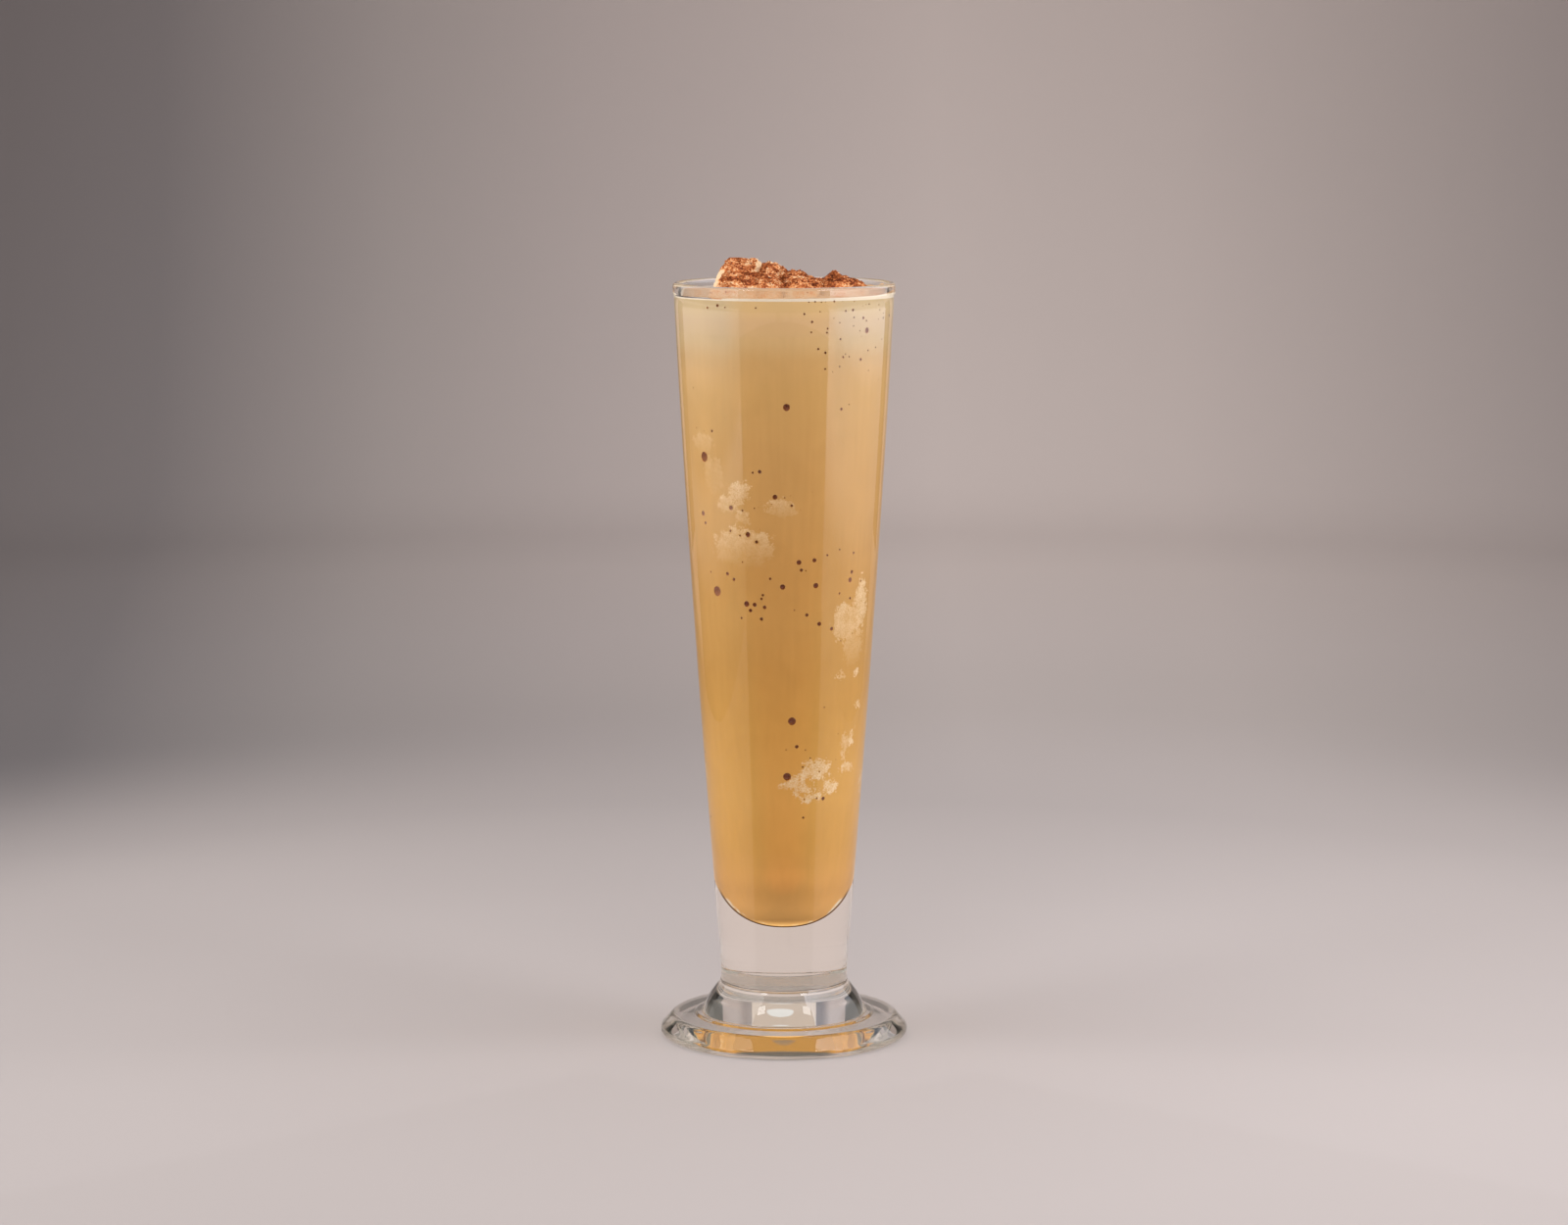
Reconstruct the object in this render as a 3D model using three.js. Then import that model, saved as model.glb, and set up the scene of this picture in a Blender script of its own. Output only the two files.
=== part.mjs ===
// Frappe coffee in a tall footed glass, filled to just under the rim, with a craggy heap of
// froth that stands out of it. Millimetres, +Z up. The origin is under the middle of the
// foot, on the surface that the glass stands on, and the drink is seen from the -Y side.
import * as THREE from "three";

const TURNS = 72; // sides of every round piece
const GAP = 0.3; // clear space kept between two pieces that touch in the real drink

// The bowl: its outer radius at a height is a gentle curve from the neck to the rim.
const RIM_HEIGHT = 225;
const NECK_HEIGHT = 20;
const NECK_RADIUS = 18.7;
const BOWL_FLARE = 17.3; // what the radius gains over the bowl
const BOWL_BOW = 3.4; // and what a slight outward bow takes off that gain at the rim
const RIM_WALL = 2.1;
const LOW_WALL = 6.9;
const WALL_THICKENS_FROM = 180; // height below which the wall grows from RIM_WALL
const HOLLOW_SIDE_END = 53; // height where the side of the hollow turns into its round end
const HOLLOW_BOTTOM = 34.3;
const HOLLOW_ROUNDNESS = 2.5; // exponent of the hollow's end: 2 would be an ellipse

// The bead round the rim and the rounded lip.
const BEAD_PROUD = 0.3;
const BEAD_HEIGHT = 3.7;
const LIP_HEIGHT = 0.9;

// The foot: a thick disc with a bevelled edge, hollowed a little underneath, and a bell that
// narrows from it to the neck.
const FOOT_RADIUS = 36.95;
const FOOT_UNDER_ROUND = [2, 1.6]; // half axes of the round lower edge
const PUNT_RADIUS = 33;
const PUNT_DEPTH = 2.4;

// Corners of the outline from the foot's rim to the neck, as radius, height and how far each
// is rounded. A fine step rings the foot of the bell.
const FOOT_CORNERS = [
  [FOOT_RADIUS, 2.4, 0.75],
  [33.4, 6.4, 1.2],
  [26.9, 6.5, 0],
  [26.2, 6.95, 0],
  [24.6, 7, 0],
  [23.9, 8.6, 0],
  [23, 10.5, 0],
  [22, 12.3, 0],
  [20.6, 14.2, 0],
  [19.25, 16, 0],
  [18.75, 17.6, 0],
  [18.75, NECK_HEIGHT + 1, 0],
];

// The drink and the froth on it.
const FROTH_BOTTOM = 211; // the pale froth shows at the side above this height
const FROTH_LEVEL = 221.7; // where it stands at the middle of the glass, were it flat
const LEVEL_TILT_X = 0.006; // it stands a little higher on the right and at the back
const LEVEL_TILT_Y = 0.004;

// Lumps of froth, each a blunt dome: its middle, its top, how far it reaches along X and Y
// before it is down at the froth's level, and an exponent that is higher for a flatter top.
const LUMPS = [
  { name: "tall peak", x: -12.2, y: 1.5, top: 232.2, alongX: 9.2, alongY: 9.5, blunt: 3 },
  { name: "middle peak", x: -3.2, y: -0.5, top: 230.4, alongX: 6.2, alongY: 8.5, blunt: 3.5 },
  { name: "front left", x: -13.6, y: -9.5, top: 228.2, alongX: 8.2, alongY: 7.2, blunt: 3 },
  { name: "front middle", x: -5, y: -8, top: 227.6, alongX: 7, alongY: 7.5, blunt: 2.6 },
  { name: "step down", x: 3, y: -2.5, top: 228.1, alongX: 6.4, alongY: 8, blunt: 3.5 },
  { name: "small front", x: 4.4, y: -10.5, top: 225.8, alongX: 5.6, alongY: 5, blunt: 2.5 },
  { name: "saddle", x: 9, y: -1, top: 226.4, alongX: 6.6, alongY: 9, blunt: 4 },
  { name: "right peak", x: 14.8, y: -3.5, top: 228.4, alongX: 7, alongY: 8, blunt: 1.3 },
  { name: "right shoulder", x: 18.2, y: -1, top: 226.3, alongX: 7.4, alongY: 9.5, blunt: 3 },
  { name: "back left", x: -7, y: 10.5, top: 228.6, alongX: 9.5, alongY: 7.5, blunt: 2.5 },
  { name: "back right", x: 7.5, y: 9.5, top: 225.8, alongX: 9, alongY: 8, blunt: 2.5 },
];

// Crags on the lumps: creased waves that cross at a steady turn, each finer than the last.
const CRAG_WAVES = 6;
const CRAG_LENGTH = 11; // of the widest wave
const CRAG_FINER = 0.74; // each wave's length next to the one before
const CRAG_DEPTH = 1.5; // of the widest wave
const CRAG_TURN = 2.4; // radians between one wave's direction and the next
const CRAG_CLEAR = 5; // the froth is smooth over this distance from the glass

const clamp = (value) => Math.min(1, Math.max(0, value));
const smooth = (value) => clamp(value) ** 2 * (3 - 2 * clamp(value));

function outerRadius(height) {
  const up = (height - NECK_HEIGHT) / (RIM_HEIGHT - NECK_HEIGHT);
  return NECK_RADIUS + BOWL_FLARE * up - BOWL_BOW * up ** 2;
}

function wall(height) {
  const reach = WALL_THICKENS_FROM - HOLLOW_SIDE_END;
  const down = clamp((WALL_THICKENS_FROM - height) / reach);
  return RIM_WALL + (LOW_WALL - RIM_WALL) * down ** 2;
}

// The hollow's outline from its lowest point up to a height, drawn in by a clearance.
function hollowOutline(topHeight, clearance, endSteps, sideSteps) {
  const points = [];
  const depth = HOLLOW_SIDE_END - HOLLOW_BOTTOM - clearance;
  for (let i = 0; i < endSteps; i++) {
    const turn = (Math.PI / 2) * (i / endSteps);
    const height = HOLLOW_SIDE_END - depth * Math.cos(turn) ** (2 / HOLLOW_ROUNDNESS);
    const side = outerRadius(height) - wall(height) - clearance;
    points.push([side * Math.sin(turn) ** (2 / HOLLOW_ROUNDNESS), height]);
  }
  for (let i = 0; i <= sideSteps; i++) {
    const height = HOLLOW_SIDE_END + (topHeight - HOLLOW_SIDE_END) * (i / sideSteps);
    points.push([outerRadius(height) - wall(height) - clearance, height]);
  }
  return points;
}

// Points on a quarter or half ellipse, from one angle to another in degrees.
function ellipse(middle, half, from, to, steps) {
  const points = [];
  for (let i = 0; i <= steps; i++) {
    const angle = THREE.MathUtils.degToRad(from + (to - from) * (i / steps));
    points.push([middle[0] + half[0] * Math.cos(angle), middle[1] + half[1] * Math.sin(angle)]);
  }
  return points;
}

// Turns an outline of [radius, height] points about the vertical axis.
function turned(outline) {
  const points = outline.map(([radius, height]) => new THREE.Vector2(radius, height));
  return new THREE.LatheGeometry(points, TURNS).rotateX(Math.PI / 2);
}

// Points round a corner between its two neighbours, or the corner itself if it is sharp.
function rounded(before, [radius, height, ease], after) {
  if (ease === 0) return [[radius, height]];
  const corner = new THREE.Vector2(radius, height);
  const towards = ([r, h]) => new THREE.Vector2(r, h).sub(corner).setLength(ease).add(corner);
  const curve = new THREE.QuadraticBezierCurve(towards(before), corner, towards(after));
  return curve.getPoints(2).map((point) => point.toArray());
}

function footOutline() {
  const outs = [0, 0.35, 0.6, 0.8, 1];
  const punt = outs.map((out) => [PUNT_RADIUS * out, PUNT_DEPTH * (1 - out ** 2)]);
  const underMiddle = [FOOT_RADIUS - FOOT_UNDER_ROUND[0], FOOT_UNDER_ROUND[1]];
  const under = ellipse(underMiddle, FOOT_UNDER_ROUND, -90, 0, 3);
  const upper = FOOT_CORNERS.flatMap((corner, i) => {
    const before = i === 0 ? under[3] : FOOT_CORNERS[i - 1];
    return rounded(before, corner, FOOT_CORNERS[i + 1]);
  });
  return [...punt, ...under, ...upper];
}

function bowlOutline(steps) {
  const points = [];
  const beadBottom = RIM_HEIGHT - BEAD_HEIGHT;
  for (let i = 1; i <= steps; i++) {
    const height = NECK_HEIGHT + 1 + (beadBottom - NECK_HEIGHT - 1) * (i / steps);
    points.push([outerRadius(height), height]);
  }
  return points;
}

function lipOutline() {
  const beadBottom = RIM_HEIGHT - BEAD_HEIGHT;
  const lipBottom = RIM_HEIGHT - LIP_HEIGHT;
  const outside = outerRadius(beadBottom) + BEAD_PROUD;
  const inside = outerRadius(lipBottom) - RIM_WALL;
  const middle = [(outside + inside) / 2, lipBottom];
  return [
    [outside, beadBottom + 0.5],
    ...ellipse(middle, [(outside - inside) / 2, LIP_HEIGHT], 0, 180, 4),
  ];
}

function makeGlass() {
  const hollow = hollowOutline(RIM_HEIGHT - BEAD_HEIGHT, 0, 6, 8).reverse();
  return turned([...footOutline(), ...bowlOutline(8), ...lipOutline(), ...hollow]);
}

function makeDrink() {
  const top = FROTH_BOTTOM - GAP;
  return turned([...hollowOutline(top, GAP, 6, 8), [0, top]]);
}

// The froth's height over the table at a place: the highest of its level and its lumps,
// creased into crags away from the glass.
function frothHeight(x, y, edge) {
  const level = FROTH_LEVEL + LEVEL_TILT_X * x + LEVEL_TILT_Y * y;
  const inland = smooth((edge - Math.hypot(x, y)) / CRAG_CLEAR);
  let heap = level;
  for (const lump of LUMPS) {
    const out = Math.hypot((x - lump.x) / lump.alongX, (y - lump.y) / lump.alongY);
    heap = Math.max(heap, lump.top - (lump.top - level) * out ** lump.blunt);
  }
  let crag = 0;
  let length = CRAG_LENGTH;
  let depth = CRAG_DEPTH;
  for (let i = 0; i < CRAG_WAVES; i++) {
    const along = x * Math.cos(CRAG_TURN * i) + y * Math.sin(CRAG_TURN * i);
    crag += depth * (Math.abs(Math.sin((Math.PI * along) / length + CRAG_TURN * i)) - 0.64);
    length *= CRAG_FINER;
    depth *= CRAG_FINER;
  }
  const raised = smooth((heap - level) / 4);
  return level + inland * (heap - level + crag * (0.12 + 0.35 * raised));
}

// The froth: a plug with a flat bottom, whose top is laid out in rings round the axis.
function makeFroth() {
  const rings = 26;
  const bottomEdge = outerRadius(FROTH_BOTTOM) - wall(FROTH_BOTTOM) - GAP;
  const topEdge = outerRadius(FROTH_LEVEL) - wall(FROTH_LEVEL) - GAP;
  const positions = [0, 0, FROTH_BOTTOM, 0, 0, frothHeight(0, 0, topEdge)];
  const addRing = (radius, heightAt) => {
    for (let i = 0; i < TURNS; i++) {
      const angle = (2 * Math.PI * i) / TURNS;
      const x = radius * Math.cos(angle);
      const y = radius * Math.sin(angle);
      positions.push(x, y, heightAt(x, y));
    }
  };
  addRing(bottomEdge, () => FROTH_BOTTOM);
  for (let ring = 0; ring < rings; ring++) {
    addRing((topEdge * (rings - ring)) / rings, (x, y) => frothHeight(x, y, topEdge));
  }
  const corner = (ring, i) => 2 + ring * TURNS + (i % TURNS);
  const faces = [];
  for (let i = 0; i < TURNS; i++) {
    faces.push(0, corner(0, i + 1), corner(0, i));
    for (let ring = 0; ring < rings; ring++) {
      faces.push(corner(ring, i), corner(ring, i + 1), corner(ring + 1, i + 1));
      faces.push(corner(ring, i), corner(ring + 1, i + 1), corner(ring + 1, i));
    }
    faces.push(corner(rings, i), corner(rings, i + 1), 1);
  }
  const geometry = new THREE.BufferGeometry();
  geometry.setAttribute("position", new THREE.Float32BufferAttribute(positions, 3));
  geometry.setIndex(faces);
  geometry.computeVertexNormals();
  return geometry;
}

const clearGlass = new THREE.MeshStandardMaterial({
  color: 0xe9e6df,
  roughness: 0.03,
  metalness: 0,
  transparent: true,
  opacity: 0.3,
});
const milkyCoffee = new THREE.MeshStandardMaterial({ color: 0xc89a5e, roughness: 0.45, metalness: 0 });
const cocoaFroth = new THREE.MeshStandardMaterial({ color: 0xc98a5c, roughness: 0.85, metalness: 0 });

const frappe = new THREE.Group();
for (const [name, geometry, material] of [
  ["glass", makeGlass(), clearGlass],
  ["coffee", makeDrink(), milkyCoffee],
  ["froth", makeFroth(), cocoaFroth],
]) {
  const mesh = new THREE.Mesh(geometry, material);
  mesh.name = name;
  frappe.add(mesh);
}

export default frappe;
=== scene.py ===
# Frappe coffee: a tall footed glass of milky iced coffee under a craggy head of froth that is
# dusted with cocoa. Metres, +Z up. The side that the photograph shows faces -Y.
import math

import bmesh
import bpy
import numpy as np
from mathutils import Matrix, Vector, noise


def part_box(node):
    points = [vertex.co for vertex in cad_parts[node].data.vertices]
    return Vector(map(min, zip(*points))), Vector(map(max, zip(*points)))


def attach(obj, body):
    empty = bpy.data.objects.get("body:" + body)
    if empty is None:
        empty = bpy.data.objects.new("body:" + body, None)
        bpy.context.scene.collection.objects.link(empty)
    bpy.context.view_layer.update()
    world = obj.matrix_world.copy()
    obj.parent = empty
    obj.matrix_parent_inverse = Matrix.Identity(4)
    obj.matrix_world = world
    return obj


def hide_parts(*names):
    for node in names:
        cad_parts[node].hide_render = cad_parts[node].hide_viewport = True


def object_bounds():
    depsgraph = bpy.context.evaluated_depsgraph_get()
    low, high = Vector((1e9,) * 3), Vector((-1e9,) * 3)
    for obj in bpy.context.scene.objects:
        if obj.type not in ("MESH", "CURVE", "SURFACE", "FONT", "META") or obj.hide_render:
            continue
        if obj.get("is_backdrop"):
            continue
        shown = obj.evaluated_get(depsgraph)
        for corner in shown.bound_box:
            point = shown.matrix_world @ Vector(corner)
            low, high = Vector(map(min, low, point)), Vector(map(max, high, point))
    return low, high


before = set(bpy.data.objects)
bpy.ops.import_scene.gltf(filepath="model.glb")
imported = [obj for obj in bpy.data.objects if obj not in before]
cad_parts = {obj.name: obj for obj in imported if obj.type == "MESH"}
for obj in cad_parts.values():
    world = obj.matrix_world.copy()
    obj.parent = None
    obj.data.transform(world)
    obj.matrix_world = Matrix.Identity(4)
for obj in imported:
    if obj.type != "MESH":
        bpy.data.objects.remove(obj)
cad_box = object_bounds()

MM = 0.001

# The view: a long lens a little above the rim, level with it sideways and tipped down.
camera_distance = 1.234
camera_height = 0.294
camera_tip = math.radians(7.70)
camera_data = bpy.data.cameras.new("view")
camera_data.lens = 96.4
camera_data.clip_end = 20
camera = bpy.data.objects.new("view", camera_data)
camera.location = (0, -camera_distance, camera_height)
camera.rotation_euler = (math.pi / 2 - camera_tip, 0, 0)
bpy.context.collection.objects.link(camera)
bpy.context.scene.camera = camera
bpy.context.scene.view_settings.view_transform = "Standard"
# Light turns many corners inside thick glass, and with fewer of them the foot would go grey.
light = bpy.context.scene.cycles
light.max_bounces = light.glossy_bounces = 24
light.transmission_bounces = light.transparent_max_bounces = 24


# The studio: a pale floor that sweeps up into a round wall, in matt paint with painted light
# and shade, so its grey shifts softly from place to place. Two wide soft lamps stand left and
# right, and a third hangs over the camera.
class Shade:
    """A socket of a material's nodes. Sums and products written on it add Math nodes."""

    def __init__(self, tree, socket=None):
        self.tree = tree
        self.socket = socket

    def add(self, kind, settings=None, inputs=None, out=0):
        """Any other node: its settings are set first, then the values or links of its inputs."""
        node = self.tree.nodes.new("ShaderNode" + kind)
        for name, value in (settings or {}).items():
            if name == "stops":
                while len(node.color_ramp.elements) < len(value):
                    node.color_ramp.elements.new(1)
                for element, (place, colour) in zip(node.color_ramp.elements, value):
                    element.position = place
                    element.color = (*colour, 1)
            else:
                setattr(node, name, value)
        for name, value in (inputs or {}).items():
            if isinstance(value, Shade):
                self.tree.links.new(value.socket, node.inputs[name])
            else:
                node.inputs[name].default_value = value
        return Shade(self.tree, node.outputs[out])

    def maths(self, operation, *values):
        return self.add("Math", {"operation": operation}, dict(enumerate(values)))

    def __add__(self, other):
        return self.maths("ADD", self, other)

    def __sub__(self, other):
        return self.maths("SUBTRACT", self, other)

    def __rsub__(self, other):
        return self.maths("SUBTRACT", other, self)

    def __mul__(self, other):
        return self.maths("MULTIPLY", self, other)

    def __truediv__(self, other):
        return self.maths("DIVIDE", self, other)

    def __pow__(self, other):
        return self.maths("POWER", self, other)

    __radd__ = __add__
    __rmul__ = __mul__

    def most(self, other):
        return self.maths("MAXIMUM", self, other)

    def least(self, other):
        return self.maths("MINIMUM", self, other)

    def rise(self, low, high):
        """0 below low, 1 above high, and smooth between."""
        settings = {"interpolation_type": "SMOOTHSTEP"}
        return self.add("MapRange", settings, {0: self, 1: low, 2: high, 3: 0.0, 4: 1.0})

    def blend(self, first, second):
        """A colour that goes from first to second as this value goes from 0 to 1."""
        colours = [c if isinstance(c, Shade) else (*c, 1) for c in (first, second)]
        inputs = {0: self, 6: colours[0], 7: colours[1]}
        return self.add("Mix", {"data_type": "RGBA"}, inputs, out=2)

    def times(self, tint, amount=1.0):
        """This colour multiplied by another one, wholly or by some amount."""
        settings = {"data_type": "RGBA", "blend_type": "MULTIPLY"}
        return self.add("Mix", settings, {0: amount, 6: self, 7: tint}, out=2)

    def axis(self, index):
        """The x, y or z of this place."""
        return self.add("SeparateXYZ", None, {0: self}, out=index)

    def feed(self, node, name):
        self.tree.links.new(self.socket, node.inputs[name])


def srgb(red, green, blue):
    """A colour given as screen values from 0 to 255, as the linear light that Blender takes."""
    parts = [c / 255 for c in (red, green, blue)]
    return tuple(c / 12.92 if c <= 0.04045 else ((c + 0.055) / 1.055) ** 2.4 for c in parts)


def new_material(name, **fixed):
    """A Principled material with fixed values on its sockets; returns it, a Shade and the node."""
    material = bpy.data.materials.new(name)
    material.use_nodes = True
    tree = material.node_tree
    shader = tree.nodes["Principled BSDF"]
    for socket, value in fixed.items():
        shader.inputs[socket.replace("_", " ")].default_value = value
    return material, Shade(tree), shader


def new_mesh(name, points, faces, material, smooth=True):
    mesh = bpy.data.meshes.new(name)
    mesh.from_pydata(points, [], faces)
    mesh.materials.append(material)
    mesh.polygons.foreach_set("use_smooth", [smooth] * len(mesh.polygons))
    mesh.update()
    piece = bpy.data.objects.new(name, mesh)
    bpy.context.collection.objects.link(piece)
    return piece


def revolve(outline, sides):
    """Points and faces of an outline of (radius, height) turned about the vertical axis. The
    outline runs up the outside, and a radius of 0 at either end makes a pole."""
    points, faces, rows = [], [], []
    for radius, height in outline:
        first = len(points)
        if radius == 0:
            points.append((0, 0, height))
            rows.append([first] * sides)
            continue
        for i in range(sides):
            angle = 2 * math.pi * i / sides
            points.append((radius * math.cos(angle), radius * math.sin(angle), height))
        rows.append(list(range(first, first + sides)))
    for low, high in zip(rows, rows[1:]):
        for i in range(sides):
            j = (i + 1) % sides
            corners = [low[i], low[j], high[j], high[i]]
            faces.append(list(dict.fromkeys(corners)))
    return points, faces


def ellipse(middle, half, start, end, steps):
    """Points on part of an ellipse, from one angle to another in degrees."""
    turns = [math.radians(start + (end - start) * i / steps) for i in range(steps + 1)]
    return [(middle[0] + half[0] * math.cos(a), middle[1] + half[1] * math.sin(a)) for a in turns]


floor_radius = 1.3
sweep_radius = 0.5
wall_top = 1.7
studio_paint_and_light, s, shader = new_material("studio_paint", Roughness=0.9, Specular_IOR_Level=0.1)
place = s.add("TexCoord", out=3)
across, along, up = place.axis(0), place.axis(1), place.axis(2)
far = (across * across + along * along) ** 0.5
# Painted light and shade: the paint's tone by the way along the floor and up the wall, as a part of the
# whole way, is lighter and darker as the studio's light falls.
whole_way = 2.4
light_by_distance = [
    (0.083, srgb(183, 175, 173)),
    (0.163, srgb(176, 168, 166)),
    (0.263, srgb(187, 178, 175)),
    (0.358, srgb(204, 194, 191)),
    (0.470, srgb(219, 208, 204)),
    (0.600, srgb(223, 212, 208)),
    (0.710, srgb(214, 203, 199)),
    (0.810, srgb(207, 196, 192)),
    (0.960, srgb(197, 186, 182)),
]
# Painted shade: broad darker upright bands on the wall, by how far left or right a place looks
# from a spot well in front of the drink, where 0.5 is straight behind it.
bands_from = 2.5
bands_wide = 1.79
shade_by_side = [
    (0.210, (1, 1, 1)),
    (0.270, (0.31, 0.315, 0.33)),
    (0.317, (0.36, 0.37, 0.39)),
    (0.385, (0.63, 0.64, 0.65)),
    (0.443, (0.79, 0.79, 0.80)),
    (0.546, (1, 1, 1)),
    (0.615, (0.92, 0.92, 0.92)),
    (0.730, (0.60, 0.60, 0.61)),
    (0.790, (1, 1, 1)),
]
tone = far.add("ValToRGB", {"stops": light_by_distance}, {0: (far + up) / whole_way})
aside = across * bands_wide / (along + bands_from) + 0.5
side_shade = far.add("ValToRGB", {"stops": shade_by_side}, {0: aside})
on_wall = far.rise(0.3, 0.6).blend((1, 1, 1), side_shade)
# Painted light: the floor near the drink is painted a little lighter on the right and darker on the left.
floor_light_by_side = across.rise(-0.15, 0.2).blend((0.96, 0.96, 0.965), (1.06, 1.06, 1.07))
floor_light = far.rise(0.45, 0.75).blend(floor_light_by_side, (1, 1, 1))
tone.times(on_wall).times(floor_light).feed(shader, "Base Color")
sweep = ellipse((floor_radius, sweep_radius), (sweep_radius, sweep_radius), -90, 0, 16)
studio_outline = [(0, 0), *sweep, (floor_radius + sweep_radius, wall_top)]
points, faces = revolve([(r, z - 0.1 * MM) for r, z in studio_outline], 96)
studio = new_mesh("studio", points, [face[::-1] for face in faces], studio_paint_and_light)
studio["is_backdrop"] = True


def soft_lamp(name, place, aim, width, height, watts, colour=(1, 1, 1)):
    """A soft lamp that lights the drink but shows in nothing."""
    data = bpy.data.lights.new(name, "AREA")
    data.shape = "RECTANGLE"
    data.size = width
    data.size_y = height
    data.energy = watts
    data.color = colour
    lamp = bpy.data.objects.new(name, data)
    lamp.location = place
    lamp.rotation_euler = (Vector(aim) - Vector(place)).to_track_quat("-Z", "Y").to_euler()
    lamp.visible_camera = False
    lamp.visible_glossy = False
    lamp.visible_transmission = False
    bpy.context.collection.objects.link(lamp)


soft_lamp("lamp_left", (-0.95, -0.25, 0.55), (0, 0, 0.1), 0.9, 1.0, 10.2)
soft_lamp("lamp_right", (0.95, -0.25, 0.55), (0, 0, 0.1), 0.9, 1.0, 10.8)
soft_lamp("lamp_front", (0, -1.1, 1.1), (0, 0, 0.1), 1.0, 0.6, 4.6)

world = bpy.data.worlds.new("room")
world.use_nodes = True
sky = world.node_tree.nodes["Background"]
sky.inputs["Color"].default_value = (1, 0.985, 0.975, 1)
sky.inputs["Strength"].default_value = 0.6
bpy.context.scene.world = world

# What the glass mirrors and bends into view: two tall white panels that stand close on both
# sides and are brighter towards the top, two small bright cards that hang in front of them, grey
# cloth beyond that is black higher up and closes overhead, and a dark cloth that lies in front.
# A pale card lies behind, and a pale strip with a small white card before it stands far behind,
# for the bell. None of them lights the drink.
panel_reach = 0.39
panel_front = 0.364
panel_back = 0.339
panel_top = 1.0
cloth_reach = 0.95
cloth_top = 0.46
cloth_opening = math.radians(33)
cloth_closing = math.radians(128)
cloth_tone = (0.4, 0.375, 0.34)
cloth_strength = [(0, 1.0), (230, 1.0), (260, 0.12), (500, 0.12)]
highest_stop = 500


def card(name, points, faces, colour, by_height, mirrored=True, bent=True, fade=0.65, sampled=True):
    """A glowing piece of the set, seen only in the glass, whose strength is given at heights in
    mm. It fades towards the back, and what a matt surface has thrown back misses it. One that
    isn't sampled takes none of the samples that look for the lamps."""
    finish = bpy.data.materials.new(name)
    finish.cycles.emission_sampling = "AUTO" if sampled else "NONE"
    finish.use_nodes = True
    finish.node_tree.nodes.clear()
    s = Shade(finish.node_tree)
    place = s.add("TexCoord", out=3)
    height, back = place.axis(2), place.axis(1)
    most = max(strength for level, strength in by_height)
    stops = [(level / highest_stop, [strength / most] * 3) for level, strength in by_height]
    strength = height.add("ValToRGB", {"stops": stops}, {0: height / (highest_stop * MM)}) * most
    strength = strength * (1.0 - back.rise(-panel_front, panel_back) * fade)
    glow = s.add("Emission", None, {"Color": (*colour, 1), "Strength": strength})
    clear = s.add("BsdfTransparent")
    scattered = s.add("LightPath", out="Diffuse Depth").rise(0.4, 0.6)
    shown = s.add("MixShader", None, {0: scattered, 1: glow, 2: clear})
    shown.feed(finish.node_tree.nodes.new("ShaderNodeOutputMaterial"), "Surface")
    piece = new_mesh(name, points, faces, finish, smooth=False)
    piece.visible_camera = False
    piece.visible_diffuse = False
    piece.visible_shadow = False
    piece.visible_glossy = mirrored
    piece.visible_transmission = bent
    piece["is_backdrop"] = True


def bent_cloth(name, reach, bottom, top, start, end, colour, by_height, **seen):
    """An upright cloth that stands round the glass from one azimuth to another."""
    turns = [start + (end - start) * i / 12 for i in range(13)]
    corners = [(reach * math.sin(a), reach * math.cos(a)) for a in turns]
    points = [(x, y, z) for x, y in corners for z in (bottom, top)]
    faces = [(2 * i, 2 * i + 1, 2 * i + 3, 2 * i + 2) for i in range(12)]
    card(name, points, faces, colour, by_height, **seen)


def even(strength):
    """The same strength at every height."""
    return [(0, strength), (highest_stop, strength)]


def around(middle, half, steps):
    """Angles from +X, in radians, from one side of a middle to the other, given in degrees."""
    return [math.radians(middle + half * (2 * i / steps - 1)) for i in range(steps + 1)]


def lying(name, turns, near, far, colour, strength, **seen):
    """A card or cloth that lies on the floor, between two distances and over some angles."""
    points = [(r * math.cos(a), r * math.sin(a), 0.5 * MM) for a in turns for r in (near, far)]
    faces = [(2 * i, 2 * i + 1, 2 * i + 3, 2 * i + 2) for i in range(len(turns) - 1)]
    card(name, points, faces, colour, even(strength), **seen)


left_strength = [(0, 0.3), (50, 0.4), (70, 1.3), (88, 1.4), (103, 0.7), (130, 0.9), (165, 2.6)]
right_strength = [(0, 0.55), (50, 0.7), (82, 1.5), (100, 1.7), (137, 1.8), (150, 2.9), (165, 4.0)]
for side, name, by_height in ((-1, "left", left_strength), (1, "right", right_strength)):
    x = side * panel_reach
    colour = (1, 0.99, 0.98) if side < 0 else (0.94, 1, 1.14)
    corners = [(x, -panel_front, 0), (x, panel_back, 0)]
    corners += [(x, panel_back, panel_top), (x, -panel_front, panel_top)]
    card("panel_" + name, corners, [[0, 1, 2, 3][::side]], colour, by_height, bent=False)
    left, right = side * 0.5 - 0.1, side * 0.5 + 0.1
    low_edge, high_edge = (-0.62, 0.62), (-0.5, 0.85)
    corners = [(left, *low_edge), (right, *low_edge), (right, *high_edge), (left, *high_edge)]
    card("card_" + name, corners, [[0, 1, 2, 3]], (1, 1, 1), even(7.0))
    opening, closing = side * cloth_opening, side * cloth_closing
    bent_cloth("cloth_" + name, cloth_reach, 0, cloth_top, opening, closing, cloth_tone, cloth_strength)
overhead = ellipse((0, 0), (cloth_reach, cloth_reach), 0, 360, 32)[:-1]
points = [(x, y, cloth_top) for x, y in overhead]
card("cloth_above", points, [list(range(32))], cloth_tone, even(1.0), mirrored=False)
only_bent = {"mirrored": False, "fade": 0.0}
lying("card_behind", around(90, 65, 16), 0.04, 0.7, srgb(205, 189, 183), 1.06, **only_bent)
unsampled = {**only_bent, "sampled": False}
strip_half = math.radians(13.8)
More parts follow.
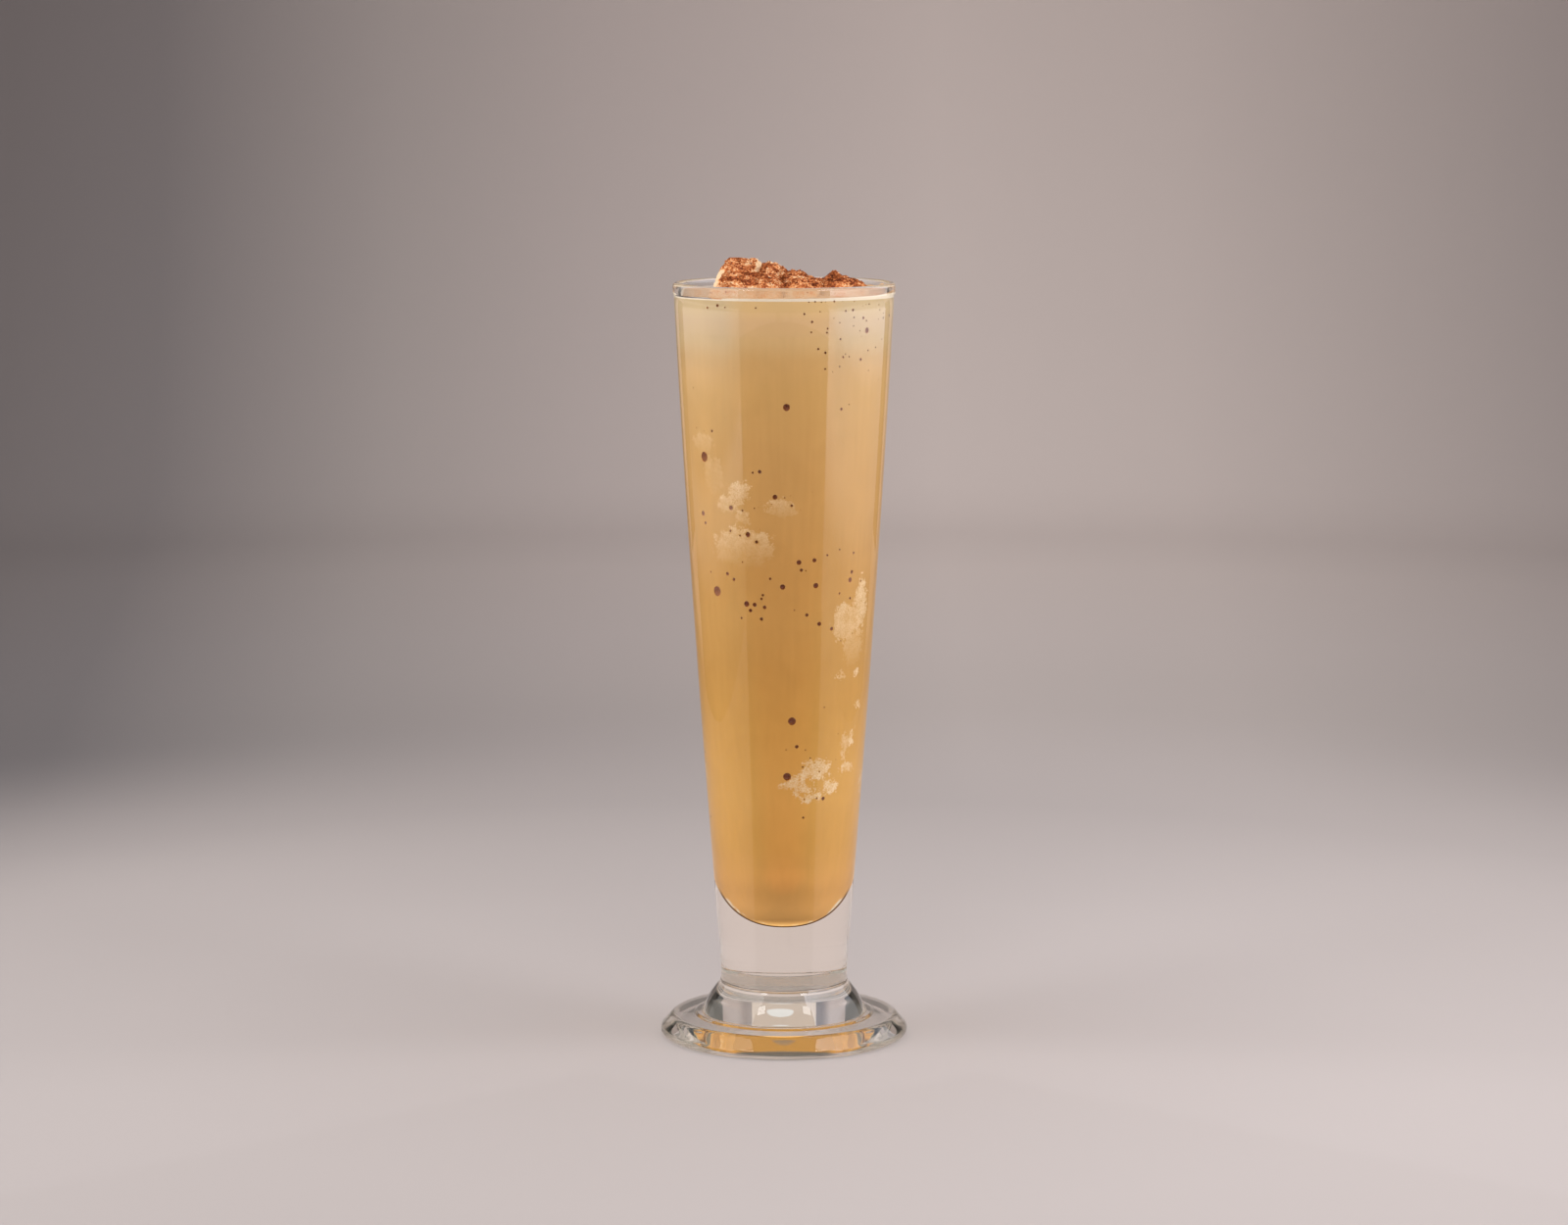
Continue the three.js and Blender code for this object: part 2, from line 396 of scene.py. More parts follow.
strip_tone = (0.60, 0.50, 0.43)
bent_cloth("card_far", 0.94, 0.17, 0.27, -strip_half, strip_half, strip_tone, even(1.0), **unsampled)
points = [(x, 0.92, z) for x, z in ellipse((0.026, 0.2055), (0.09, 0.0125), 0, 360, 24)[:-1]]
card("card_small", points, [list(range(24))], (0.8, 0.79, 0.78), even(1.0), **unsampled)
lying("cloth_in_front", around(-90, 48, 16), 0.075, 1.28, (1, 0.93, 0.86), 0.12, bent=False)


# The glass: one pressed piece of soda-lime glass, fire-polished, so every edge is a little
# round. It has a thick clear base, a plain neck, a bell and a disc foot with a bevelled edge
# that is hollowed underneath, and it looks faintly yellow where it is thick.
rim_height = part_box("glass")[1].z
foot_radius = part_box("glass")[1].x
neck_height = 20 * MM
neck_radius = 18.7 * MM
bowl_flare = 17.3 * MM
bowl_bow = 3.4 * MM
rim_wall = 2.1 * MM
low_wall = 6.9 * MM
wall_thickens_from = 180 * MM
hollow_side_end = 53 * MM
hollow_bottom = 34.3 * MM
hollow_roundness = 2.5
bead_bottom = rim_height - 3.7 * MM
bead_proud = 0.3 * MM
lip_height = 0.9 * MM
punt_radius = 33 * MM
punt_depth = 2.4 * MM
foot_under_round = (2 * MM, 1.6 * MM)


def outer_radius(height):
    up = (height - neck_height) / (rim_height - neck_height)
    return neck_radius + bowl_flare * up - bowl_bow * up**2


def inner_radius(height):
    down = (wall_thickens_from - height) / (wall_thickens_from - hollow_side_end)
    wall = rim_wall + (low_wall - rim_wall) * min(1, max(0, down)) ** 2
    return outer_radius(height) - wall


def hollow(top, reach, end_steps, side_steps):
    """The outline of the hollow from its lowest point to a height, grown by a reach."""
    depth = hollow_side_end - hollow_bottom + reach
    outline = []
    for i in range(end_steps):
        turn = math.pi / 2 * i / end_steps
        height = hollow_side_end - depth * math.cos(turn) ** (2 / hollow_roundness)
        out = math.sin(turn) ** (2 / hollow_roundness)
        outline.append(((inner_radius(height) + reach) * out, height))
    for i in range(side_steps + 1):
        height = hollow_side_end + (top - hollow_side_end) * i / side_steps
        outline.append((inner_radius(height) + reach, height))
    return outline


def eased(corners, steps=4):
    """An outline through corners of (radius, height, ease) in mm, each rounded over its ease."""
    spots = [Vector(corner[:2]) * MM for corner in corners]
    outline = [tuple(spots[0])]
    for before, spot, after, corner in zip(spots, spots[1:], spots[2:], corners[1:]):
        start = spot + (before - spot).normalized() * corner[2] * MM
        end = spot + (after - spot).normalized() * corner[2] * MM
        for i in range(steps + 1):
            t = i / steps
            outline.append(tuple(start * (1 - t) ** 2 + spot * 2 * t * (1 - t) + end * t**2))
    return outline + [tuple(spots[-1])]


punt = [(punt_radius * i / 16, punt_depth * (1 - (i / 16) ** 2)) for i in range(17)]
under_middle = (foot_radius - foot_under_round[0], foot_under_round[1])
foot_under = ellipse(under_middle, foot_under_round, -90, 0, 8)
foot_top = eased(
    [
        (foot_radius / MM, 1.62, 0),
        (foot_radius / MM, 2.4, 0.75),
        (33.4, 6.4, 1.2),
        (26.9, 6.5, 0.4),
        (26.2, 6.95, 0.3),
        (24.6, 7.0, 0.2),
        (23.9, 8.6, 0.9),
        (23.0, 10.5, 1.0),
        (22.0, 12.3, 1.0),
        (20.6, 14.2, 1.0),
        (19.25, 16.0, 0.9),
        (18.75, 17.6, 0.8),
        (19.1, 24.0, 0),
    ],
    6,
)
bowl_bottom = 24.5 * MM
bowl = [(outer_radius(z), z) for z in np.linspace(bowl_bottom, bead_bottom, 60)]
bead_radius = outer_radius(bead_bottom) + bead_proud
lip_bottom = rim_height - lip_height
lip_inside = inner_radius(lip_bottom)
lip_middle = ((bead_radius + lip_inside) / 2, lip_bottom)
bead = [
    (bead_radius - 0.08 * MM, bead_bottom + 0.25 * MM),
    (bead_radius, bead_bottom + 0.6 * MM),
]
lip = ellipse(lip_middle, ((bead_radius - lip_inside) / 2, lip_height), 0, 180, 16)
inside = hollow(lip_bottom - 0.5 * MM, 0, 24, 60)[::-1]
glass_outline = [*punt, *foot_under, *foot_top, *bowl, *bead, *lip, *inside]

glass_finish, s, shader = new_material(
    "clear_glass",
    Base_Color=(1, 1, 1, 1),
    Roughness=0.0,
    IOR=1.5,
    Transmission_Weight=1.0,
)
light_passes = s.add("BsdfTransparent", None, {"Color": (0.96, 0.96, 0.95, 1)})
to_lamp = s.add("LightPath", out=1)
solid = Shade(s.tree, shader.outputs[0])
surface = s.add("MixShader", None, {0: to_lamp, 1: solid, 2: light_passes})
depth_tint = {"Color": (1.0, 0.955, 0.82, 1), "Density": 8.0}
body_tint = s.add("VolumeAbsorption", None, depth_tint)
glass_end = s.tree.nodes["Material Output"]
surface.feed(glass_end, "Surface")
body_tint.feed(glass_end, "Volume")

points, faces = revolve(glass_outline, 192)
glass = new_mesh("footed_glass", points, faces, glass_finish)
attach(glass, "root")
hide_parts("glass")


# The coffee: blended iced coffee with milk, which fills the hollow to the glass. It is paler
# towards the top, where froth has risen, and holds paler clots and small bubbles of air that
# show as dents against the glass, dark with painted shade.
froth_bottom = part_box("froth")[0].z
reach = 0.15 * MM  # how far what fills the glass reaches into its wall, so no air shows
tones_top = 222


def place_on_wall(across, height):
    """The azimuth on the hollow's wall, from the -Y side towards +X, of what looks to be a
    distance right of the axis when it is seen from the front through the glass."""
    outer, inner = outer_radius(height), inner_radius(height)
    look = math.asin(max(-0.999, min(0.999, across / outer)))
    bent = math.asin(math.sin(look) / 1.5)
    return look - bent + math.asin(max(-1, min(1, across / 1.5 / inner)))


# Paler clots: how far right of the axis they look, their height, half width and half height
# in mm, how strong they are, and how much of that is lost down to their lower edge, or with a
# minus sign up to their upper edge.
clots = [
    (-23.6, 179.5, 4.6, 3.2, 0.45, 0.8),
    (-20.6, 170.5, 3.6, 5.5, 0.3, 0.6),
    (-12.7, 165.6, 3.6, 3.1, 0.85, 0.4),
    (-16.5, 162.1, 3.5, 2.5, 0.8, 0.6),
    (-12.0, 158.3, 2.2, 1.7, 0.7, 0.6),
    (-0.3, 161.2, 4.2, 2.8, 0.7, 0.9),
    (-12.2, 149.2, 9.6, 6.0, 0.75, 1.0),
    (22.4, 131.6, 3.4, 7.6, 1.0, 0.3),
    (18.3, 127.0, 5.2, 5.6, 0.7, 0.3),
    (20.4, 119.0, 4.2, 5.6, 0.5, 0.9),
    (16.9, 111.2, 1.8, 1.1, 0.5, 0.0),
    (21.1, 111.2, 1.2, 1.2, 0.8, 0.0),
    (21.7, 101.6, 1.5, 1.3, 0.9, 0.0),
    (19.5, 91.9, 1.5, 1.9, 0.9, 0.0),
    (17.6, 89.6, 1.9, 3.2, 0.5, 0.0),
    (18.2, 82.8, 2.6, 1.7, 0.8, 0.2),
    (9.3, 83.2, 4.9, 2.9, 1.0, -0.2),
    (2.6, 79.4, 3.2, 1.7, 0.9, 0.3),
    (5.2, 77.6, 2.4, 1.3, 0.8, 0.0),
    (7.6, 74.8, 2.8, 1.4, 0.9, 0.0),
    (13.2, 77.6, 2.8, 2.1, 0.9, 0.0),
]
clot_places = [
    (place_on_wall(a * MM, z * MM), z * MM, w * MM, h * MM, k, f) for a, z, w, h, k, f in clots
]
chance = np.random.default_rng(11)
for _ in range(26):
    clot_places.append(
        (
            chance.uniform(1.75, 4.55),
            chance.uniform(62, 182) * MM,
            chance.uniform(2, 8) * MM,
            chance.uniform(1.6, 5) * MM,
            chance.uniform(0.4, 0.9),
            chance.uniform(0.2, 1),
        )
    )


def clot_at(azimuth, height):
    """How many mm a place on the wall is inside the edge of a clot, and how strong it is."""
    radius = inner_radius(height)
    best, strength = -9.0, 0.0
    for middle, level, half_width, half_height, strong, lost in clot_places:
        turn = (azimuth - middle + math.pi) % (2 * math.pi) - math.pi
        up = (height - level) / half_height
        inside = 1 - (abs(turn * radius / half_width) ** 2.4 + abs(up) ** 2.4) ** (1 / 2.4)
        inside *= min(half_width, half_height) / MM
        if inside > best:
            down = (1 - up) / 2 if lost > 0 else (1 + up) / 2
            best, strength = inside, strong * (1 - abs(lost) * min(1, max(0, down)))
    return best, strength


coffee_outline = [*hollow(froth_bottom, reach, 30, 190), (0, froth_bottom)]
coffee_sides = 240
points, faces = revolve(coffee_outline, coffee_sides)


def drink_tone(height):
    """The plain colour of the drink and of the froth on it, by height in mm."""
    tones = [
        (36, srgb(243, 174, 100)),
        (47, srgb(240, 174, 98)),
        (59, srgb(233, 172, 91)),
        (74, srgb(232, 175, 95)),
        (96, srgb(220, 166, 88)),
        (112, srgb(212, 160, 87)),
        (127, srgb(213, 163, 93)),
        (141, srgb(210, 160, 92)),
        (158, srgb(212, 165, 100)),
        (175, srgb(211, 166, 103)),
        (195, srgb(215, 173, 110)),
        (204, srgb(216, 175, 116)),
        (209, srgb(222, 186, 132)),
        (215, srgb(226, 188, 138)),
        (219, srgb(234, 197, 140)),
        (tones_top, srgb(234, 196, 139)),
    ]
    low, high = tones[0][0], tones[-1][0]
    stops = [((z - low) / (high - low), tone) for z, tone in tones]
    place = (height / MM - low) / (high - low)
    return height.add("ValToRGB", {"stops": stops}, {0: place})


def with_side_shade(s, colour, height):
    """The drink's colour with painted shade where it turns away from the view, a little darker there, and
    with a painted cool reflection at the sides near the top.
    """
    level = [
        (0.17, (0.87, 0.95, 0.99)),
        (0.45, (0.94, 0.99, 1.01)),
        (0.80, (0.98, 1.02, 1.04)),
        (0.90, (0.95, 0.99, 1.06)),
        (0.95, (0.84, 0.92, 1.05)),
        (1.00, (0.82, 0.92, 1.12)),
    ]
    tint = height.add("ValToRGB", {"stops": level}, {0: height / (tones_top * MM)})
    turned = s.add("LayerWeight", None, {"Blend": 0.5}, out=1).rise(0.02, 0.09)
    return colour.times(tint, turned)


coffee_finish, s, shader = new_material("milky_coffee", Roughness=0.5, Specular_IOR_Level=0.0)
place = s.add("TexCoord", out=3)
across, along, height = place.axis(0), place.axis(1), place.axis(2)
clot = s.add("Attribute", {"attribute_name": "clot"}, out=2)
clot_strength = s.add("Attribute", {"attribute_name": "clot_strength"}, out=2)
# Clots are ragged at the edge and grained with fine foam, and faint streaks run down the wall.
ragged = s.add("TexNoise", None, {"Vector": place, "Scale": 420.0, "Detail": 3.0, "Roughness": 0.6})
fine = s.add("TexNoise", None, {"Vector": place, "Scale": 1700.0, "Detail": 2.0})
grain = s.add("TexNoise", None, {"Vector": place, "Scale": 2600.0, "Detail": 1.0})
swirl = s.add("TexNoise", None, {"Vector": place, "Scale": 70.0, "Detail": 3.0, "Distortion": 1.0})
squash = {"operation": "MULTIPLY"}
flat_place = s.add("VectorMath", squash, {0: place, 1: (1.0, 1.0, 0.03)})
streak = s.add("TexNoise", None, {"Vector": flat_place, "Scale": 600.0, "Detail": 2.0})
clot_edge = clot + (ragged - 0.5) * 5.0 + (fine - 0.5) * 3.0
foamy = ((ragged - 0.5) * 1.4 + (grain - 0.5) * 1.6 + 0.62).most(0.0).least(1.0)
clot_mask = (clot_edge.rise(-0.15, 0.6) * clot_strength * foamy * 1.15).least(1.0)
uneven = ((swirl - 0.5) * 1.6 + (streak - 0.5) * 1.1 + 0.5).most(0.0).least(1.0)
shading = uneven.blend((0.96, 0.955, 0.94), (1.04, 1.045, 1.06))
plain_with_side_shade = with_side_shade(s, drink_tone(height).times(shading), height)
pale = height.rise(0.1, 0.15).blend(srgb(246, 220, 180), srgb(241, 212, 168))
colour = clot_mask.blend(plain_with_side_shade, pale)
# The round bottom turns away with a painted highlight, a bright broken line, and a thin line of painted
# shade along its edge.
turned_away = s.add("LayerWeight", None, {"Blend": 0.5}, out=1)
bottom = 1.0 - height.rise(0.0415, 0.0455)
glint_flecks = (ragged + (across * across * 1200.0)).rise(0.52, 0.75)
low = 1.0 - height.rise(0.041, 0.0425)
painted_glint = turned_away.rise(0.6, 0.68) * low * glint_flecks
painted_dark = turned_away.rise(0.72, 0.8) * bottom
colour = painted_dark.blend(painted_glint.blend(colour, srgb(255, 244, 226)), srgb(132, 92, 54))
# Painted light: the milk glows at the bottom, where no lamp reaches, and low on the far side,
# which shows in the foot, in place of light that has spread inside it.
low_glow = (1.0 - height.rise(0.0345, 0.037)) * 0.83
glow = (low_glow + (1.0 - height.rise(0.039, 0.0465)) * 0.17) * (1.0 - painted_dark)
shader.inputs["Emission Strength"].default_value = 1.0
far_glow = along.rise(0.003, 0.009) * height.rise(0.038, 0.042) * (1.0 - height.rise(0.052, 0.066))
glow_colour = far_glow.blend(glow.blend((0, 0, 0), (0.9, 0.53, 0.18)), (0.3, 0.165, 0.035))
glow_colour.feed(shader, "Emission Color")
colour.feed(shader, "Base Color")
coffee = new_mesh("coffee_body", points, faces, coffee_finish)
found = [clot_at(math.atan2(x, -y), z) for x, y, z in points]
for name, values in zip(("clot", "clot_strength"), zip(*found)):
    coffee.data.attributes.new(name, "FLOAT", "POINT").data.foreach_set("value", values)

# Air bubbles against the glass: how far right of the axis they look, their height and width
# in mm. The larger ones stand where the drink shows them, and fine ones gather near them.
bubbles = [
    (0.7, 190.7, 2.1), (-23.1, 175.3, 2.9), (-20.8, 183.1, 0.9), (-7.0, 171.9, 1.2), (-9.0, 171.6, 0.8),
    (-2.6, 164.6, 1.5), (0.2, 164.4, 0.6), (2.2, 162.1, 0.9), (-3.6, 162.5, 0.5), (-15.3, 161.0, 1.4),
    (-12.0, 160.4, 0.8), (-8.5, 161.2, 0.6), (-23.5, 158.5, 1.5), (-22.8, 155.8, 1.0), (-15.5, 154.2, 0.8),
    (-12.7, 153.0, 0.7), (-10.4, 153.4, 1.5), (-7.9, 151.3, 1.1), (-12.0, 145.2, 0.6), (4.3, 145.4, 1.5),
    (8.8, 145.9, 1.3), (12.5, 147.2, 0.8), (16.1, 148.6, 0.7), (20.2, 147.2, 0.9), (5.0, 143.1, 1.1),
    (6.3, 142.9, 0.6), (19.7, 141.6, 1.2), (19.2, 139.3, 1.5), (22.4, 138.5, 0.7), (-16.4, 141.4, 1.2),
    (-14.5, 139.9, 1.1), (-21.3, 141.4, 0.7), (-4.0, 140.6, 0.9), (-19.4, 135.9, 2.9), (-0.4, 138.2, 1.6),
    (9.2, 138.4, 1.6), (16.1, 135.6, 0.8), (19.2, 133.8, 0.9), (-6.1, 135.7, 0.9), (-6.5, 134.6, 0.9),
    (-10.8, 132.9, 1.7), (-8.5, 132.8, 1.3), (-5.6, 132.1, 1.2), (-9.7, 131.0, 1.2), (-12.3, 128.6, 0.8),
    (-6.5, 128.6, 1.1), (3.0, 131.3, 0.6), (6.6, 129.8, 1.1), (10.2, 127.0, 1.3), (13.8, 125.3, 1.2),
    (16.5, 121.4, 0.6), (2.3, 98.2, 2.3), (11.7, 101.9, 0.6), (3.7, 90.5, 1.2), (0.6, 89.6, 0.6),
    (6.2, 89.4, 0.6), (0.9, 81.5, 2.3), (5.4, 84.3, 0.7), (7.6, 86.9, 0.6), (10.3, 82.6, 0.6),
    (11.4, 74.3, 1.2), (9.5, 74.5, 0.7), (5.9, 74.5, 0.6), (5.6, 68.9, 0.8), (5.8, 217.6, 0.8),
    (8.0, 215.3, 0.9), (7.8, 212.3, 0.7), (6.5, 210.6, 0.9), (19.8, 218.4, 1.0), (17.7, 218.2, 0.8),
    (20.1, 216.2, 0.7), (23.9, 212.2, 1.7), (26.0, 210.6, 0.9), (30.6, 215.8, 1.0), (22.1, 203.9, 1.0),
    (16.5, 189.8, 1.0), (18.7, 191.0, 0.6), (-19.1, 219.8, 1.1), (-22.0, 219.0, 0.9), (-16.9, 219.3, 0.7),
    (-8.1, 219.4, 0.7), (7.1, 221.2, 0.6), (8.9, 221.3, 0.7), (10.7, 221.1, 0.6), (11.9, 221.2, 0.5),
    (14.4, 221.3, 0.8), (16.8, 221.2, 0.5), (20.2, 221.1, 0.6), (22.6, 219.5, 0.5), (26.5, 207.0, 0.7),
    (24.4, 200.5, 0.6), (-26.3, 195.2, 0.6), (-25.4, 183.6, 0.6), (-23.2, 182.9, 0.5), (27.4, 197.5, 0.5),
]
bubble_places = [(place_on_wall(a * MM, z * MM), z * MM, w * MM) for a, z, w in bubbles]


def has_room(azimuth, height, width):
    """Whether a bubble there would keep clear of the others."""
    radius = inner_radius(height)
    for other, level, size in bubble_places:
        turn = (azimuth - other + math.pi) % (2 * math.pi) - math.pi
        if math.hypot(turn * radius, height - level) < (width + size) * 0.6 + 0.1 * MM:
            return False
    return abs(height - froth_bottom) > 0.7 * width


def scatter(count, azimuths, heights, widths):
    """Adds bubbles by chance between two azimuths and two heights in mm, most of them small."""
    made = 0
    while made < count:
        width = (widths[0] + (widths[1] - widths[0]) * chance.random() ** 3) * MM
        spot = (chance.uniform(*azimuths), chance.uniform(*heights) * MM, width)
        if has_room(*spot):
            bubble_places.append(spot)
            made += 1


bubble_places = [spot for spot in bubble_places if abs(spot[1] - froth_bottom) > 0.7 * spot[2]]
scatter(18, (-0.75, 0.9), (128, 170), (0.35, 0.6))
scatter(14, (-0.56, -0.36), (161, 169), (0.3, 0.45))
scatter(10, (-0.8, -0.4), (153, 156.5), (0.3, 0.5))
scatter(34, (0.25, 0.75), (75, 88), (0.3, 0.5))
scatter(14, (0.75, 1.1), (84, 94), (0.3, 0.5))
scatter(16, (0.7, 1.2), (120, 140), (0.3, 0.5))
scatter(34, (0.3, 1.2), (200, 220.5), (0.35, 0.8))
scatter(16, (0.3, 1.2), (203, 220), (0.6, 1.0))
scatter(110, (1.6, 4.68), (60, 200), (0.5, 2.4))

# Painted shade: the inside of each dent is painted dark brown, and towards the sides it is painted paler,
# a painted reflection of the pale veil that the glass shows there.
bubble_shade_finish, s, shader = new_material("bubble_hollow", Roughness=0.6, Specular_IOR_Level=0.0)
place = s.add("TexCoord", out=3)
patchy = s.add("TexNoise", None, {"Vector": place, "Scale": 900.0, "Detail": 2.0})
across = place.axis(0)
painted_dark = patchy.blend(srgb(150, 78, 8), srgb(196, 112, 22))
painted_veil = (across * across).rise(13e-5, 21e-5).blend(painted_dark, srgb(206, 146, 84))
painted_veil.feed(shader, "Base Color")


def ball(middle, radius, level):
    """Points and faces of a faceted ball that is a little taller than wide."""
    shape = bmesh.new()
    bmesh.ops.create_icosphere(shape, subdivisions=level, radius=radius)
    spots = [v.co for v in shape.verts]
    found = [(x + middle[0], y + middle[1], z * 1.1 + middle[2]) for x, y, z in spots]
    corners = [tuple(v.index for v in f.verts) for f in shape.faces]
    shape.free()
    return found, corners


def settle(piece):
    """Makes what a piece's modifiers do a part of its mesh."""
    bpy.context.view_layer.update()
    depsgraph = bpy.context.evaluated_depsgraph_get()
    made = bpy.data.meshes.new_from_object(piece.evaluated_get(depsgraph))
    piece.modifiers.clear()
    piece.data = made
    made.name = piece.name


def dent(piece, places):
    """Cuts the bubbles at some places into a piece, with painted shade, a dark finish, inside them."""
    points, faces = [], []
    for azimuth, height, width in places:
        sunk = inner_radius(height) - 0.12 * width
        middle = (sunk * math.sin(azimuth), -sunk * math.cos(azimuth), height)
        found, corners = ball(middle, width / 2, 3 if width > 1.2 * MM else 2)
        faces += [tuple(c + len(points) for c in corner) for corner in corners]
        points += found
    shapes = new_mesh(piece.name + "_bubbles", points, faces, bubble_shade_finish)
    piece.data.materials.append(bubble_shade_finish)
    dents = piece.modifiers.new("bubbles", "BOOLEAN")
    dents.operation = "DIFFERENCE"
    dents.object = shapes
    dents.solver = "MANIFOLD"
    settle(piece)
    bpy.data.objects.remove(shapes)
    piece.data.set_sharp_from_angle(angle=math.radians(45))


dent(coffee, [spot for spot in bubble_places if spot[1] < froth_bottom])
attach(coffee, "root")
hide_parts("coffee")


# The froth: a pale layer under the rim and a heap of stiff foam on it, spooned into lumps
# with torn, crumbly tops. Cocoa was dusted on from the front, so only the left flank and the
# far side of the tall peak stay bare. The foam clings a little way up the glass, and along it
# a thin white line is a painted highlight. The low froth below the rim has painted shade.
froth_level = 221.7 * MM
level_tilt = (0.006, 0.004)
lumps = [
    {"x": -12.2, "y": 1.5, "top": 232.2, "along_x": 9.2, "along_y": 9.5, "blunt": 3},
    {"x": -3.2, "y": -0.5, "top": 230.4, "along_x": 6.2, "along_y": 8.5, "blunt": 3.5},
    {"x": -13.6, "y": -9.5, "top": 228.2, "along_x": 8.2, "along_y": 7.2, "blunt": 3},
    {"x": -5.0, "y": -8, "top": 227.6, "along_x": 7, "along_y": 7.5, "blunt": 2.6},
    {"x": 3.0, "y": -2.5, "top": 228.1, "along_x": 6.4, "along_y": 8, "blunt": 3.5},
    {"x": 4.4, "y": -10.5, "top": 225.8, "along_x": 5.6, "along_y": 5, "blunt": 2.5},
    {"x": 9, "y": -1, "top": 226.4, "along_x": 6.6, "along_y": 9, "blunt": 4},
    {"x": 14.8, "y": -3.5, "top": 228.4, "along_x": 7, "along_y": 8, "blunt": 1.3},
    {"x": 18.2, "y": -1, "top": 226.3, "along_x": 7.4, "along_y": 9.5, "blunt": 3},
    {"x": -7, "y": 10.5, "top": 228.6, "along_x": 9.5, "along_y": 7.5, "blunt": 2.5},
    {"x": 7.5, "y": 9.5, "top": 225.8, "along_x": 9, "along_y": 8, "blunt": 2.5},
]
crag_waves = 6
crag_length = 11 * MM
crag_depth = 1.5 * MM
crag_finer = 0.74
crag_turn = 2.4
crag_clear = 5 * MM


def smooth(value):
    """Eases a value that goes from 0 to 1 at both of its ends."""
    value = np.clip(value, 0, 1)
    return value**2 * (3 - 2 * value)


def froth_height(x, y, edge):
    """The froth's height at places given as arrays, and how far each is raised as a lump."""
    level = froth_level + level_tilt[0] * x + level_tilt[1] * y
    inland = smooth((edge - np.hypot(x, y)) / crag_clear)
    heap = level.copy()
    for lump in lumps:
        over = (x - lump["x"] * MM) / (lump["along_x"] * MM)
        back = (y - lump["y"] * MM) / (lump["along_y"] * MM)
        top = lump["top"] * MM
        heap = np.maximum(heap, top - (top - level) * np.hypot(over, back) ** lump["blunt"])
    crag = np.zeros_like(x)
    length, depth = crag_length, crag_depth
    for i in range(crag_waves):
        along = x * math.cos(crag_turn * i) + y * math.sin(crag_turn * i)
        crag += depth * (np.abs(np.sin(math.pi * along / length + crag_turn * i)) - 0.64)
        length *= crag_finer
        depth *= crag_finer
    raised = smooth((heap - level) / (4 * MM))
    return level + inland * (heap - level + crag * (0.12 + 0.35 * raised)), raised


def clinging(x, y, edge):
    """How far the foam stands up along the glass: a little all round, more at both sides."""
    inward = (edge - np.hypot(x, y)) / MM
    azimuth = np.degrees(np.arctan2(x, -y))
    wavy = 0.75 + 0.25 * np.sin(azimuth * 0.31) * np.sin(azimuth * 0.117 + 1)
    left = 2.3 * smooth(1 - np.abs(azimuth + 97) / 26) * np.exp(-inward / 1.2)
    right = 2.0 * smooth(1 - np.abs(azimuth - 104) / 48) * np.exp(-inward / 3.5)
    return (0.4 * np.exp(-inward / 0.4) + (left + right) * wavy) * MM


froth_sides = 360
froth_rings = 130
froth_edge = inner_radius(froth_level) + reach
ring_radii = froth_edge * (1 - np.arange(froth_rings) / froth_rings)
angles = 2 * np.pi * np.arange(froth_sides) / froth_sides
xs = np.append((ring_radii[:, None] * np.cos(angles)).ravel(), 0)
ys = np.append((ring_radii[:, None] * np.sin(angles)).ravel(), 0)
zs, raised = froth_height(xs, ys, froth_edge)
zs += clinging(xs, ys, froth_edge)
bottom_radius = inner_radius(froth_bottom) + reach
points = [(0, 0, froth_bottom)]
points += [(bottom_radius * math.cos(a), bottom_radius * math.sin(a), froth_bottom) for a in angles]
side_rows = 12
for row in range(1, side_rows):
    up = row / side_rows
    for a, top_z in zip(angles, zs[:froth_sides]):
        z = froth_bottom + (top_z - froth_bottom) * up
        radius = inner_radius(z) + reach
        points.append((radius * math.cos(a), radius * math.sin(a), z))
surface_start = len(points)
points += list(zip(xs, ys, zs))
faces = []
for i in range(froth_sides):
    faces.append((0, 1 + (i + 1) % froth_sides, 1 + i))
    for row in range(side_rows + froth_rings - 1):
        low, high = 1 + row * froth_sides, 1 + (row + 1) * froth_sides
        j = (i + 1) % froth_sides
        faces.append((low + i, low + j, high + j, high + i))
    last = 1 + (side_rows + froth_rings - 1) * froth_sides
    faces.append((last + i, last + (i + 1) % froth_sides, len(points) - 1))

froth_finish, s, shader = new_material("cocoa_froth", Roughness=0.85, Specular_IOR_Level=0.2)
place = s.add("TexCoord", out=3)
x, y, height = place.axis(0), place.axis(1), place.axis(2)
cocoa = s.add("Attribute", {"attribute_name": "cocoa"}, out=2)
layered = s.add("VectorMath", {"operation": "MULTIPLY"}, {0: place, 1: (1.0, 1.0, 2.4)})
blotch = s.add("TexNoise", None, {"Vector": layered, "Scale": 330.0, "Detail": 4.0, "Roughness": 0.65})
speck = s.add("TexNoise", None, {"Vector": layered, "Scale": 1500.0, "Detail": 3.0, "Roughness": 0.7})
dust = cocoa * (0.49 + x.rise(0.006, 0.012) * 0.17 + (blotch - 0.5) * 2.6 + (speck - 0.5) * 2.2)
by_dust = [
    (0.00, srgb(236, 208, 172)),
    (0.14, srgb(232, 188, 140)),
    (0.28, srgb(226, 156, 98)),
    (0.42, srgb(204, 120, 66)),
    (0.58, srgb(160, 82, 42)),
    (0.76, srgb(112, 51, 26)),
    (1.00, srgb(72, 32, 16)),
]
dusted_and_shaded = dust.add("ValToRGB", {"stops": by_dust}, {0: dust})
